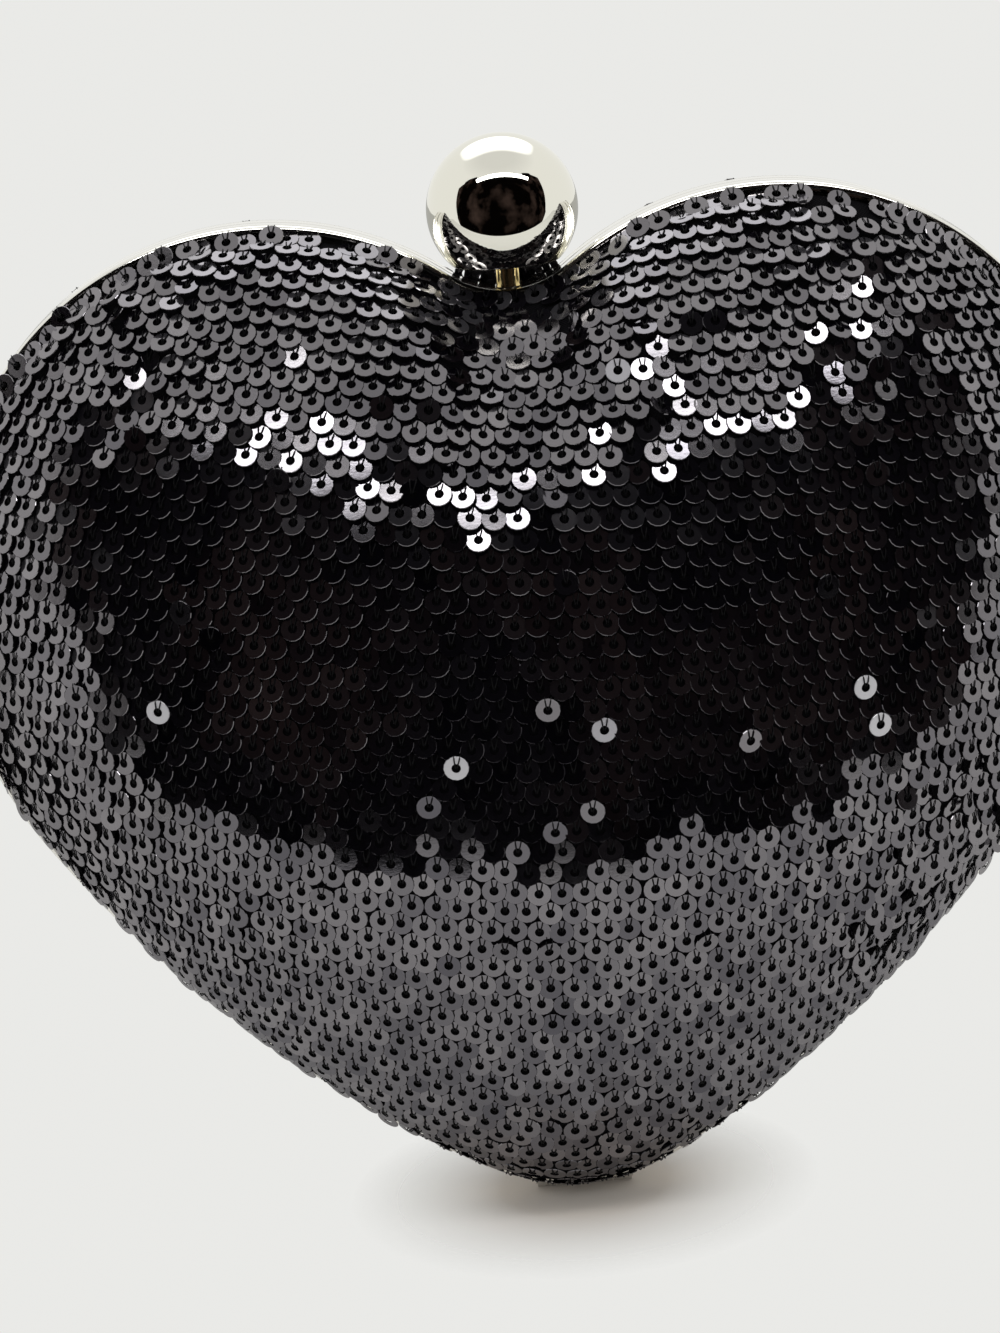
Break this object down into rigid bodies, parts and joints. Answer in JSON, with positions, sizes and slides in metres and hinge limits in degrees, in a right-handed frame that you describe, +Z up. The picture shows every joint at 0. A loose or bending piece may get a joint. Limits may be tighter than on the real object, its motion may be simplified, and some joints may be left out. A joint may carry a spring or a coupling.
{
  "type": "heart shaped clutch purse",
  "caption": "Heart shaped hard clutch: two domed halves covered in black sequins on silver frames, hinged at the tip and shut by a rocking latch with a silver ball knob.",
  "frame": {"origin": "outermost point of the frame at the heart's tip, on the plane where the two halves part, where a display easel or a hand carries the upright purse", "axes": "+Z up from the tip towards the lobes and the ball, +X to the right across the heart seen from the front, -Y towards the front half that opens"},
  "size_m": [0.19, 0.075, 0.1782],
  "materials": {
    "silver_frame": "polished silver plate with a faint warm tint",
    "polished_ball": "mirror polished silver plate",
    "brass_collar": "polished",
    "steel_fittings": "nickel plated steel",
    "black_sequins": "glossy flat black sequins on black knit",
    "foam_padding": "thin black foam",
    "moulded_shell": "moulded shell, unseen between foam and lining",
    "satin_lining": "black satin"
  },
  "bodies": {
    "back_half": {"back_frame": "silver_frame", "back_shell": "moulded_shell", "back_pad": "foam_padding", "back_sequin_cover": "black_sequins", "back_lining": "satin_lining", "back_hinge_leaf": "steel_fittings", "back_hinge_rivets": "steel_fittings", "hinge_pin": "steel_fittings", "clasp_bracket": "steel_fittings", "bracket_rivets": "steel_fittings", "pivot_pin": "steel_fittings", "latch_spring": "steel_fittings", "chain_eye_left": "silver_frame", "chain_eye_right": "silver_frame"},
    "front_half": {"front_frame": "silver_frame", "front_shell": "moulded_shell", "front_pad": "foam_padding", "front_sequin_cover": "black_sequins", "front_lining": "satin_lining", "front_hinge_leaf": "steel_fittings", "front_hinge_rivets": "steel_fittings", "keeper_plate": "steel_fittings", "keeper_rivets": "steel_fittings"},
    "clasp_lever": {"latch_lever": "steel_fittings", "knob_stem": "steel_fittings", "stem_collar": "brass_collar", "ball_knob": "polished_ball"}
  },
  "joints": [
    {"name": "lid_hinge", "type": "hinge", "parent": "back_half", "child": "front_half", "pos_m": [0, 0, -0.0004], "axis": [1, 0, 0], "range_deg": [0, 95]},
    {"name": "clasp_rock", "type": "hinge", "parent": "back_half", "child": "clasp_lever", "pos_m": [0, 0.007, 0.13988], "axis": [-1, 0, 0], "range_deg": [0, 6.5], "stiffness_Nm_per_rad": 0.5, "springref_deg": -5.73}
  ]
}
